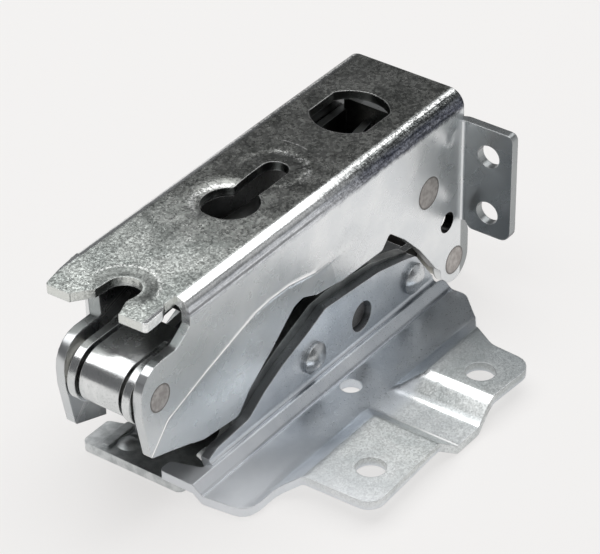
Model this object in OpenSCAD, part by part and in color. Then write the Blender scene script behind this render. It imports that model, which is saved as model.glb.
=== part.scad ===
// Concealed multi-link door hinge for a built-in refrigerator, closed pose.
// Working frame of the modules: X = 0 at the rear edge of the casing web,
// Y = 0 half way between the casing walls, Z = 0 on the outer face of the web.
// place() then moves everything so that the origin lies half way between the
// two wing screw holes, on the underside of the wings.

/* [Sheet] */
// Thickness of the casing, bracket and wing plate sheet
sheet_t = 2; // [1.6:0.1:2.2]
// Thickness of the levers and of the front link
lever_t = 1.75; // [1.5:0.05:1.8]
// Outer radius of the casing folds
fold_r = 3.5; // [2.6:0.1:4.2]

/* [Casing] */
// Width over the two side walls
casing_w = 29.1; // [29:0.1:29.6]
// Length of the two folds
casing_len = 91.9; // [90:0.1:94]
// Radius of the keyhole's round end
keyhole_r = 6; // [5:0.1:6.4]
// Width of the keyhole's slot
keyhole_slot = 6; // [4:0.1:7]
// Radius of the rear window before its sides are cut straight
window_r = 8.2; // [7:0.1:9.5]
// Width of the window between its straight sides
window_w = 14; // [12:0.1:16]
// Radius of the tab's screw holes
tab_hole_r = 2.6; // [2:0.1:3]

/* [Wing plate] */
// Distance between the two wing screw holes
wing_pitch = 38; // [36:0.1:40]
// Radius of the wing screw holes
wing_hole_r = 3.1; // [2.2:0.1:3.4]
// Height of the wings' top over the floor of the plate
wing_rise = 3.7; // [2.5:0.1:4.2]
// Radius of the small round hole in the floor
small_hole_r = 2.3; // [1.5:0.1:2.6]

/* [Pins] */
// Radius of the rear upper pin
upper_pin_r = 3.6; // [3:0.1:3.8]
// Radius of the rear lower pin
lower_pin_r = 3.2; // [2.8:0.1:3.4]
// Radius of the front pin
front_pin_r = 3; // [2.5:0.1:3.1]
// Radius of the other pivot rivets
rivet_r = 2.5; // [2:0.1:2.8]
// Radial running clearance on the pins
run_gap = 0.05; // [0.02:0.01:0.09]
// Clearance of the two pivots where the closed linkage is opened
open_gap = 0.3; // [0.2:0.05:0.5]

/* [Hidden] */
$fn = 48;
t = sheet_t;
hw = casing_w/2;          // outer face of the casing walls
hi = hw - t;              // inner face of the casing walls
// pivots in the X-Z plane, closed pose
R1 = [-12.8, -18.1];      // casing, upper
R2 = [-2.85, -40.1];      // casing, lower
R3 = [-101.5, -16.3];     // casing, front
B0 = [-36.0, -35.6];      // base, main lever
XP = [-58.0, -14.0];      // main lever and cross lever
P2 = [-66.0, -38.4];      // base, short link
E2 = XP + R2 - R1;        // main lever and rear link: second parallelogram
E1 = XP + P2 - B0;        // cross lever and short link: first parallelogram
B1 = [-52.9, -35.8];      // front flange rivet
B2 = [-18.1, -36.2];      // rear flange rivet
// layers across the width, each side
brk_o = 12.25; brk_i = brk_o - t;         // bracket walls
l2_o = 9.95;   l2_i = l2_o - lever_t;     // main lever
la_o = 7.9;    la_i = la_o - lever_t;     // rear link
l1_o = 5.85;   l1_i = l1_o - lever_t;     // cross lever
l3_o = 3.8;    l3_i = l3_o - lever_t;     // short link
// heights of the base
z_under = -45.2;          // underside of bracket floor and plate floor
z_floor = z_under + t;    // top of both floors
z_wing = z_floor + wing_rise;
z_foot = z_floor + t;     // top of the strip that passes over the bracket floor
// front link across the width
fl_n = -12.2; fl_f = 2.5;
fl_a = -9.3; fl_b = fl_f - lever_t - 0.7; // rolled part between the link's two side plates
ear_f = 5.8;              // outer face of the inset far ear
yoke_i = 10.6; yoke_o = 12.3; // outer cheeks of the cross lever on the rear upper pin
origin = [(-33.35 - 71.35)/2, -41.3, z_wing - t];

module place() translate(-origin) children();

// ---- outline helpers -------------------------------------------------
function unit(v) = v/norm(v);
// points of one rounded corner at b between a and c
function corner(a, b, c, r, n) =
  let (u = unit(a - b), v = unit(c - b), ang = acos(u*v), d = r/tan(ang/2),
       p = b + u*d, q = b + v*d, o = b + unit(u + v)*(r/sin(ang/2)),
       a0 = atan2(p[1] - o[1], p[0] - o[0]), a1 = atan2(q[1] - o[1], q[0] - o[0]),
       da = ((a1 - a0 + 540) % 360) - 180)
  [for (k = [0:n]) o + r*[cos(a0 + da*k/n), sin(a0 + da*k/n)]];
// outline with a radius as the third number of each point
function rounded(P, n = 5) = let (N = len(P))
  [for (i = [0:N - 1]) let (a = P[(i + N - 1) % N], b = P[i], c = P[(i + 1) % N])
    each (b[2] < 0.01 ? [[b[0], b[1]]]
                      : corner([a[0], a[1]], [b[0], b[1]], [c[0], c[1]], b[2], n))];

// X-Z outline made into a plate from y0 to y1
module plate(y0, y1) translate([0, y1, 0]) rotate([90, 0, 0]) linear_extrude(y1 - y0) children();
// the same plate on both sides of the centre plane
module plates(yi, yo) { plate(-yo, -yi) children(); plate(yi, yo) children(); }
// Y-Z outline made into a bar from x0 to x1
module bar(x0, x1) translate([x0, 0, 0]) rotate([90, 0, 90]) linear_extrude(x1 - x0) children();
// pin along Y
module pin(p, r, y0, y1) translate([p[0], y0, p[1]]) rotate([-90, 0, 0]) cylinder(r = r, h = y1 - y0);
module pins(p, r, yi, yo) { pin(p, r, -yo, -yi); pin(p, r, yi, yo); }
// bar with round ends, its flanks just inside the tangents
module tangent_bar(a, ra, b, rb) {
  u = unit(b - a); w = [-u[1], u[0]];
  translate(a) circle(ra);
  translate(b) circle(rb);
  polygon([a + (ra - 0.12)*w, b + (rb - 0.12)*w, b - (rb - 0.12)*w, a - (ra - 0.12)*w]);
}
// rounded U section, open downwards: outer half width h, thickness s, outer radius r, depth d
module u_section(h, s, r, d) difference() {
  union() {
    translate([-h, -d]) square([2*h, d - r]);
    translate([-h + r, -d]) square([2*(h - r), d]);
    for (k = [-1, 1]) translate([k*(h - r), -r]) circle(r);
  }
  union() {
    translate([-h + s, -d - 1]) square([2*(h - s), d + 1 - r]);
    translate([-h + r, -d - 1]) square([2*(h - r), d + 1 - s]);
    for (k = [-1, 1]) translate([k*(h - r), -r]) circle(r - s);
  }
}

// ---- casing ----------------------------------------------------------
// side wall behind the ends of the folds
module wall_outline() {
  polygon(rounded([
    [-casing_len, 1, 0], [-0.6, 1, 0], [-0.4, -6, 0], [1.2, -31, 0], [R2[0] + 5.05, R2[1] + 5, 2],
    [R2[0] + 5.05, R2[1], 0], [R2[0] - 5.05, R2[1], 0], [-9.6, -38.6, 2], [-15.7, -30.7, 6],
    [-21.4, -24.8, 6], [-26.8, -20.4, 0.8], [-29.4, -23.1, 0.8], [-43, -22.6, 8], [-51.5, -21.4, 2],
    [-56.2, -19.4, 1.5], [-59, -19.9, 2], [-66.5, -26.1, 6], [-74, -31.3, 3], [-77.4, -35.4, 2.5],
    [-88.5, -34.2, 6], [-casing_len, -33, 0]]));
  translate(R2) circle(5.05);
}
// ear in front of the fold ends, with the front pin
module ear_outline() polygon(rounded([
  [-casing_len + 0.4, -8, 0], [-casing_len + 0.4, -33, 0], [-95.5, -31.7, 4], [-104.7, -28.6, 1.2],
  [-106.9, -18.5, 8], [-107.4, -8.4, 6], [-96, -8.3, 3], [-93.6, -6.8, 1.5], [-casing_len + 0.4, -5.2, 0]]));
module keyhole() {
  translate([-60.9, -0.5]) circle(keyhole_r);
  translate([-46.6, -0.5]) circle(keyhole_slot/2);
  translate([-60.9, -0.5 - keyhole_slot/2]) square([14.3, keyhole_slot]);
}
module window() intersection() {
  translate([-20.4, -0.1]) circle(window_r);
  translate([-32, -0.1 - window_w/2]) square([24, window_w]);
}
module notch() union() {
  translate([-95.2, -1.4]) circle(3.7);
  polygon([[-95.2, 2.3], [-95.2, -5.1], [-98.6, -4.9], [-102, -6.2], [-106, -6.2], [-106, 5.2], [-102.6, 5.2], [-98.8, 2.3]]);
}
module casing() color([0.70, 0.72, 0.71]) place() difference() {
  union() {
    // folded web and walls
    intersection() {
      bar(-casing_len, 3) u_section(hw, t, fold_r, 60);
      union() {
        plate(-hw - 1, -hi + fold_r) wall_outline();
        plate(-hi + 1, hw + 1) intersection() {
          wall_outline();
          union() {
            translate([-86, -60]) square([96, 70]);
            translate([-100, -5.5]) square([30, 10]);
          }
        }
      }
    }
    // near ear
    plate(-hw, -hi) ear_outline();
    // far wall runs inwards to the inset ear
    intersection() {
      plate(0, 20) union() {
        ear_outline();
        translate([-casing_len, -33]) square([6, 24.6]);
      }
      translate([0, 0, -40]) linear_extrude(40) polygon([
        [-85.9, hw], [-87.6, hw], [-96.6, ear_f], [-110, ear_f], [-110, ear_f - t],
        [-95.6, ear_f - t], [-86.6, hi], [-85.9, hi]]);
    }
    // flat horns each side of the open notch
    translate([0, 0, -t]) linear_extrude(t) polygon(rounded([
      [-casing_len + 0.4, 12.6, 0], [-97.4, 12.0, 2], [-102.9, 10.9, 0.8], [-102.4, -12.6, 0.8],
      [-97.2, -12.4, 1], [-95.2, -11.2, 1], [-casing_len + 0.4, -11.2, 0]]));
    // two-hole tab folded off the rear of the near wall
    intersection() {
      union() {
        translate([0, 0, -40]) linear_extrude(36) difference() {
          union() {
            translate([-1.6, -hw - 1]) circle(3);
            translate([-0.6, -30]) square([t, 30 - hw - 1]);
          }
          translate([-1.6, -hw - 1]) circle(1);
          translate([-10, -hw - 1 - 10]) square([9.4, 10]);
          translate([-10, -hw - 10]) square([8.4, 20]);
        }
      }
      union() {
        translate([-1.6, 0, 0]) bar(0, 10) polygon(rounded([
          [-hw + t, -6.8, 0], [-26.6, -6.8, 1.5], [-26.6, -32.5, 2.5], [-hw - 2, -32.5, 1.5], [-hw - 1, -31, 0], [-hw + t, -31, 0]]));
      }
    }
  }
  // openings
  translate([0, 0, -t - 1]) linear_extrude(t + 2) { keyhole(); window(); notch(); }
  pins(R1, upper_pin_r, hi - 1, hw + 1);
  pins(R2, lower_pin_r, hi - 1, hw + 1);
  pin(R3, front_pin_r, -hw - 1, ear_f + 1);
  pin([-5.8, -29.1], 2.3, -hw - 1, -hi + 1);
  pin([-5.8, -29.1], 2.3, hi - 1, hw + 1);
  for (z = [-13.4, -27.1]) translate([-3, -20.9, z]) rotate([0, 90, 0]) cylinder(r = tab_hole_r, h = 8);
}
module upper_pin() color([0.62, 0.59, 0.56]) place() pin(R1, upper_pin_r, -hw, hw);
module lower_pin() color([0.62, 0.59, 0.56]) place() pin(R2, lower_pin_r, -hw, hw);
module front_pin() color([0.62, 0.59, 0.56]) place() pin(R3, front_pin_r, -hw, ear_f);
module ring(p, ro, ri, y0, y1) difference() { pin(p, ro, y0, y1); pin(p, ri, y0 - 1, y1 + 1); }
module rings(p, ro, ri, yi, yo) { ring(p, ro, ri, -yo, -yi); ring(p, ro, ri, yi, yo); }
module upper_spacers() color([0.85, 0.85, 0.80]) place() rings(R1, upper_pin_r + 1.3, upper_pin_r + run_gap, l1_o + 0.1, yoke_i - 0.1);
module lower_spacers() color([0.85, 0.85, 0.80]) place() rings(R2, lower_pin_r + 1.2, lower_pin_r + run_gap, la_o + 0.1, hi - 0.1);

// ---- front link on the front pin --------------------------------------
fl_r = 6.4;                // side plates
fl_w = 5.9;                // rolled part
module front_wrap() difference() {
  union() {
    translate(R3) circle(fl_w);
    translate([R3[0], R3[1] + fl_w - lever_t]) square([13, lever_t]);
  }
  translate(R3) circle(fl_w - lever_t);
  // open to the rear and below
  polygon([R3, R3 + [1, -20], R3 + [20, -20], R3 + [20, fl_w - lever_t], R3 + [0, fl_w - lever_t]]);
  polygon([R3, R3 + [-4.5, -20], R3 + [4, -20]]);
}
module link_ear() difference() {
  union() {
    translate(R3) circle(fl_r);
    polygon(rounded([[R3[0], R3[1] + fl_r, 0], [-89.5, R3[1] + fl_r, 0], [-89.5, -11.9, 0], [-93, -12.2, 1], [-97.2, -20.4, 3], [R3[0], R3[1] - fl_r, 0]]));
  }
  translate(R3) circle(front_pin_r + run_gap);
}
module front_link() color([0.78, 0.80, 0.80]) place() union() {
  plate(fl_n, fl_n + lever_t) link_ear();
  plate(fl_f - lever_t, fl_f) link_ear();
  // the sheet is joined across behind the rolled part
  plate(fl_n + 0.5, fl_f - 0.5) translate([-93.2, R3[1] + fl_w - lever_t]) square([93.2 - 88.5, lever_t]);
  plate(fl_a, fl_b) front_wrap();
}
module front_washers() color([0.85, 0.85, 0.80]) place() {
  ring(R3, front_pin_r + 1.5, front_pin_r + run_gap, -hi + 0.02, fl_n - 0.02);
  ring(R3, front_pin_r + 1.5, front_pin_r + run_gap, fl_f + 0.1, ear_f - t - 0.1);
}
// coil round the front pin, one leg under the web and one on the link
spring_w = 0.45;
spring_m = 3.6;
spring_n = 6;
spring_y0 = -8.4;
spring_y1 = -0.4;
function spring_path() = let (per = 14)
  [for (k = [0:spring_n*per]) let (a = 75 + 360*k/per)
    [R3[0] + spring_m*cos(a), spring_y0 + (spring_y1 - spring_y0)*k/(spring_n*per), R3[1] + spring_m*sin(a)]];
module tube(P, r, s) {
  N = len(P);
  pts = [for (i = [0:N - 1]) let (d = unit(P[min(i + 1, N - 1)] - P[max(i - 1, 0)]),
           e = unit(cross(d, [0, 1, 0])), g = cross(e, d))
         for (k = [0:s - 1]) P[i] + r*(cos(360*k/s)*e + sin(360*k/s)*g)];
  polyhedron(pts, concat(
    [[for (k = [0:s - 1]) k]], [[for (k = [s - 1:-1:0]) (N - 1)*s + k]],
    [for (i = [0:N - 2]) for (k = [0:s - 1])
      [i*s + k, (i + 1)*s + k, (i + 1)*s + (k + 1) % s, i*s + (k + 1) % s]]));
}
module front_spring() color([0.45, 0.46, 0.48]) place() tube(spring_path(), spring_w, 8);

// ---- levers ----------------------------------------------------------
module eye(p, r) translate(p) circle(r);
module lever_1_outline() {
  tangent_bar(R1, 6, XP, 5);
  tangent_bar(XP, 4, E1, 4);
}
// rear end of the lever: folded across behind the pin and forwards again along the walls
module yoke_outline() polygon(rounded([
  [-20.5, -10, 2], [-4.85, -10, 0.6], [-4.85, -22, 1.5], [-12.8, -26, 5], [-20.8, -20, 4]]));
module cross_lever() color([0.66, 0.68, 0.69]) place() difference() {
  union() {
    plates(l1_i, l1_o) {
      lever_1_outline();
      polygon([[-12.8, -12.3], [-5.6, -10.6], [-5.6, -21.4], [-12.8, -23.9]]);
    }
    plates(yoke_i, yoke_o) yoke_outline();
    plate(-yoke_i - 0.5, yoke_i + 0.5) translate([-6.6, -21.6]) square([1.7, 14.2]);
    // web on the upper side
    plate(-l1_i - 0.5, l1_i + 0.5) polygon([[-23, -11.45], [-56, -9.2], [-60, -10.25], [-80, -12.1],
      [-80, -13.85], [-60, -12], [-56, -10.95], [-23, -13.2]]);
  }
  pin(R1, upper_pin_r + run_gap, -20, 20);
  pins(XP, rivet_r + run_gap, l1_i - 1, l1_o + 1);
  pins(E1, rivet_r + open_gap, l1_i - 1, l1_o + 1);
  // stop notch for the rear link's pin at full opening
  pins(XP + [-22.85, -8.1], rivet_r + 0.4, l1_i - 1, l1_o + 1);
}
module crossing_rivets() color([0.62, 0.59, 0.56]) place() pins(XP, rivet_r, l1_i, l2_o);
module crossing_spacers() color([0.85, 0.85, 0.80]) place() rings(XP, rivet_r + 1.1, rivet_r + run_gap, l1_o + 0.1, l2_i - 0.1);
module main_outline() {
  tangent_bar(B0, 5.2, XP, 5);
  tangent_bar(E2, 4.6, XP, 5);
  tangent_bar(B0, 5.2, E2, 4.6);
  polygon([B0, XP, E2]);
}
module main_lever() color([0.66, 0.68, 0.69]) place() difference() {
  union() {
    plates(l2_i, l2_o) union() {
      main_outline();
      polygon([E2 + [1, -1], [-45.5, -42.7], [-37.8, -42.7], B0 + [0, -1]]);
    }
    // web below the rear link
    plate(-l2_i - 0.5, l2_i + 0.5) translate([-45.2, -42.7]) square([7.2, 1.4]);
  }
  pins(B0, rivet_r + run_gap, l2_i - 1, l2_o + 1);
  pins(XP, rivet_r, l2_i - 1, l2_o + 1);
  pin(E2, rivet_r, -20, 20);
}
module rear_link_outline() {
  tangent_bar(R2, 3.5, E2, 3.5);
  translate(R2) circle(4.9);
  translate(E2) circle(4.2);
}
rl_u = unit(R2 - E2);
rl_w = [-rl_u[1], rl_u[0]];
module rear_link() color([0.66, 0.68, 0.69]) place() difference() {
  union() {
    plates(la_i, la_o) rear_link_outline();
    // web on the upper side
    plate(-la_i - 0.5, la_i + 0.5) polygon([E2 + 8*rl_u + 1.6*rl_w, E2 + 38*rl_u + 1.6*rl_w,
      E2 + 38*rl_u + 3.3*rl_w, E2 + 8*rl_u + 3.3*rl_w]);
  }
  pin(E2, rivet_r + run_gap, -20, 20);
  pins(R2, lower_pin_r + open_gap, la_i - 1, la_o + 1);
}
module rear_link_pin() color([0.62, 0.59, 0.56]) place() pin(E2, rivet_r, -l2_o, l2_o);
module short_link() color([0.66, 0.68, 0.69]) place() difference() {
  union() {
    plates(l3_i, l3_o) tangent_bar(P2, 4.2, E1, 4.2);
    // web on the front side
    plate(-l3_i - 0.5, l3_i + 0.5) polygon([[-74.6, -35.74], [-85.3, -25.23], [-84.25, -24.2], [-73.55, -34.7]]);
  }
  pin(P2, rivet_r + run_gap, -20, 20);
  pin(E1, rivet_r, -20, 20);
}
module short_link_pin() color([0.62, 0.59, 0.56]) place() pin(E1, rivet_r, -l1_o, l1_o);

// ---- base ------------------------------------------------------------
module bracket_outline() polygon(rounded([
  [-13.5, -50, 0], [-13.5, -39.6, 3], [-17.2, -30.8, 3], [-31, -26.4, 8], [-46, -24.6, 8], [-51.5, -24.9, 3],
  [-62, -28.9, 6], [-69, -32.2, 6], [-76, -37, 3], [-81.5, -44, 0], [-81.5, -50, 0]]));
module bearing_bracket() color([0.68, 0.70, 0.72]) place() difference() {
  union() {
    intersection() {
      bar(-81.5, -13.5) translate([0, z_under]) mirror([0, 1]) u_section(brk_o, t, 3, 30);
      plate(-20, 20) bracket_outline();
    }
    // floor in front of the walls
    translate([0, 0, z_under]) linear_extrude(t) polygon(rounded([
      [-80.5, brk_o - 3.6, 0], [-84.2, brk_o - 3.6, 0.8], [-85.4, brk_o, 1], [-93.6, brk_o, 1.5], [-93.6, -brk_o, 1.5],
      [-85.4, -brk_o, 1], [-84.2, -brk_o + 3.6, 0.8], [-80.5, -brk_o + 3.6, 0]]));
    // pressed rib and dimple
    translate([-92.4, 6.4, z_floor - 0.5]) linear_extrude(1.2) polygon(rounded([[0, 0, 0.6], [8.4, 0, 0.6], [8.4, 1.9, 0.6], [0, 1.9, 0.6]]));
    intersection() {
      translate([-88.5, 4.2, z_floor - 4.2]) sphere(5);
      translate([-95, -5, z_floor - 0.5]) cube([20, 20, 5]);
    }
  }
  pins(B0, rivet_r, brk_i - 1, brk_o + 1);
  pins(P2, rivet_r, brk_i - 1, brk_o + 1);
  pin(B1, 2, -brk_o - 1, -brk_i + 1);
  pin(B2, 2, -brk_o - 1, -brk_i + 1);
}
module base_rivets() color([0.55, 0.53, 0.50]) place() {
  pins(B0, rivet_r, l2_i, brk_o);
  pin(B0, 2.9, -brk_o - 0.6, -brk_o);
  pin(B0, 2.9, brk_o, brk_o + 0.25);
}
module link_base_pin() color([0.55, 0.53, 0.50]) place() pin(P2, rivet_r, -brk_o, brk_o);
module link_spacers() color([0.85, 0.85, 0.80]) place() rings(P2, rivet_r + 1.2, rivet_r + run_gap, l3_o + 0.1, brk_i - 0.1);

// outline of the plate seen from above, outside the flange bend
module plate_plan() polygon(rounded([
  [-10.2, -brk_o - 3, 0], [-8.3, -brk_o - 3.5, 1], [-8.1, -21.2, 3], [-14.2, -27.6, 2], [-20.6, -31.9, 3], [-24.2, -38, 5],
  [-24.9, -48.6, 4], [-38, -47.9, 0], [-45.2, -48.5, 1], [-52, -48.5, 1], [-57.8, -47.7, 0], [-80.9, -48.7, 3.5],
  [-81.2, -32.6, 2], [-83.8, -28.1, 3], [-92.4, -28.3, 4.5], [-94, -15.2, 0], [-93.9, -7.4, 1], [-90.6, -7.4, 1],
  [-88.6, -brk_o - 1.4, 1], [-84, -brk_o - 3, 0]]));
// everything below the top face of the plate
module under_top(dz) translate([0, 0, dz]) union() {
  translate([-100, -60, -60]) cube([100, 60, 60 + z_floor]);
  // strip along the flange and over the bracket floor
  bar(-100, 0) polygon([[0, -60], [0, z_foot], [-brk_o - 3.2, z_foot], [-brk_o - 5.4, z_floor], [-brk_o - 5.4, -60]]);
  // wings: sloping towards the floor at the inner side and at the groove
  intersection() {
    bar(-120, 20) polygon([[-27.2, z_floor - 20], [-27.2, z_floor], [-32.3, z_wing], [-60, z_wing], [-60, z_floor - 20]]);
    plate(-80, 0) union() {
      polygon([[-45.4, z_floor - 20], [-45.4, z_floor], [-38.7, z_wing], [20, z_wing], [20, z_floor - 20]]);
      polygon([[-52.2, z_floor - 20], [-52.2, z_floor], [-57.6, z_wing], [-120, z_wing], [-120, z_floor - 20]]);
    }
  }
}
module flange_outline() polygon(rounded([
  [-10.4, z_foot + 1.1, 0], [-16.9, -31.4, 2.5], [-21, -30.2, 4], [-30, -28.1, 8], [-48.6, -26.5, 3], [-54, -28.8, 6], [-63, -31.9, 8], [-69, -34.8, 4],
  [-74.2, -38.2, 3], [-84.4, -38.9, 1.5], [-87, z_foot + 1.1, 0], [-87, z_foot + 0.9, 0], [-10.4, z_foot + 0.9, 0]]));
module wing_plate() color([0.60, 0.64, 0.70]) place() difference() {
  union() {
    intersection() {
      difference() { under_top(0); under_top(-t); }
      translate([0, 0, -60]) linear_extrude(60) plate_plan();
    }
    // flange and its bend
    plate(-brk_o - t, -brk_o) flange_outline();
    intersection() {
      bar(-87, -10.4) intersection() {
        difference() {
          translate([-brk_o - 3, z_foot + 1]) circle(3);
          translate([-brk_o - 3, z_foot + 1]) circle(1);
        }
        translate([-brk_o - 3.02, z_foot - 2.5]) square([3.02, 3.5]);
      }
      translate([0, 0, -60]) linear_extrude(60) polygon([[-9, 0], [-9, -30], [-90, -30], [-90, 0]]);
    }
  }
  for (k = [-1, 1]) translate([-52.35 + k*wing_pitch/2, -41.3, -60]) cylinder(r = wing_hole_r, h = 40);
  translate([-48.2, -20.2, -60]) cylinder(r = small_hole_r, h = 40);
  pin(B0, 3.4, -20, -10);
  pin(B1, 2, -20, -10);
  pin(B2, 2, -20, -10);
}
module dome(p) {
  pin(p, 2, -brk_o - t, -brk_i);
  intersection() {
    translate([p[0], -brk_o - t + 3.1, p[1]]) sphere(5.2);
    pin(p, 3.4, -brk_o - t - 2.4, -brk_o - t);
  }
}
module flange_rivets() color([0.70, 0.72, 0.74]) place() { dome(B1); dome(B2); }

casing();
upper_pin();
lower_pin();
front_pin();
upper_spacers();
lower_spacers();
front_spring();
front_link();
front_washers();
cross_lever();
crossing_rivets();
crossing_spacers();
main_lever();
rear_link();
rear_link_pin();
short_link();
short_link_pin();
bearing_bracket();
base_rivets();
link_base_pin();
link_spacers();
wing_plate();
flange_rivets();
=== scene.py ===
import math
import bmesh
import bpy
import numpy as np
from mathutils import Matrix, Vector


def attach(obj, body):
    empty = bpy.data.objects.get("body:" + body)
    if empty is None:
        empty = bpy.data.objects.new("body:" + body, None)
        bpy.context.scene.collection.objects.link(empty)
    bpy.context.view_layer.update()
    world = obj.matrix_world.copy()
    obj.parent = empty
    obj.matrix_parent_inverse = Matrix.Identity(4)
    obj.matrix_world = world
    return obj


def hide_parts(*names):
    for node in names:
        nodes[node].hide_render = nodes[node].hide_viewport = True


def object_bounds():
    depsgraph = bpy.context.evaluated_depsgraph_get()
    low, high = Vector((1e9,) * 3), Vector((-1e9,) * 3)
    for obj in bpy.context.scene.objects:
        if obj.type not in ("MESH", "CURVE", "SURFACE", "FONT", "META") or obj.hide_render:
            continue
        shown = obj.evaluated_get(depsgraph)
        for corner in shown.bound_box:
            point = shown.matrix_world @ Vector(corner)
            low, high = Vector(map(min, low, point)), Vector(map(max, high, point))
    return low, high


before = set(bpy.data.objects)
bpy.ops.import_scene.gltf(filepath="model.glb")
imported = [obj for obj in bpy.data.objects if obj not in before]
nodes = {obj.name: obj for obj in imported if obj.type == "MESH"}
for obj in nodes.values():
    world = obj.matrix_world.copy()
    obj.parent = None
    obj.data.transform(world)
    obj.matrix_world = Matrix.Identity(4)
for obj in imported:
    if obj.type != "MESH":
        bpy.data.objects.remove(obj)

CAD_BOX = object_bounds()
scene = bpy.context.scene
OFF = (52.35, 41.3, 41.5)          # millimetres from the hinge's casing frame to the row frame


def W(x, y, z):
    """A point of the casing frame in millimetres, as a point of the row frame in metres."""
    return Vector(((x + OFF[0]) / 1000, (y + OFF[1]) / 1000, (z + OFF[2]) / 1000))


# ---------------------------------------------------------------- camera
cam = bpy.data.objects.new("photo_camera", bpy.data.cameras.new("photo_camera"))
scene.collection.objects.link(cam)
right = Vector((0.588421, -0.808526, -0.006829))
up = Vector((0.462475, 0.329624, 0.823082))
back = Vector((-0.663232, -0.487478, 0.567881))
pos = Vector((-0.426662, -0.283126, 0.388680))
cam.matrix_world = Matrix(((right.x, up.x, back.x, pos.x), (right.y, up.y, back.y, pos.y),
                           (right.z, up.z, back.z, pos.z), (0, 0, 0, 1)))
cam.data.sensor_fit = "HORIZONTAL"
cam.data.sensor_width = 36
cam.data.lens = 196.62
cam.data.clip_start = 0.01
cam.data.clip_end = 20
scene.camera = cam


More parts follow.
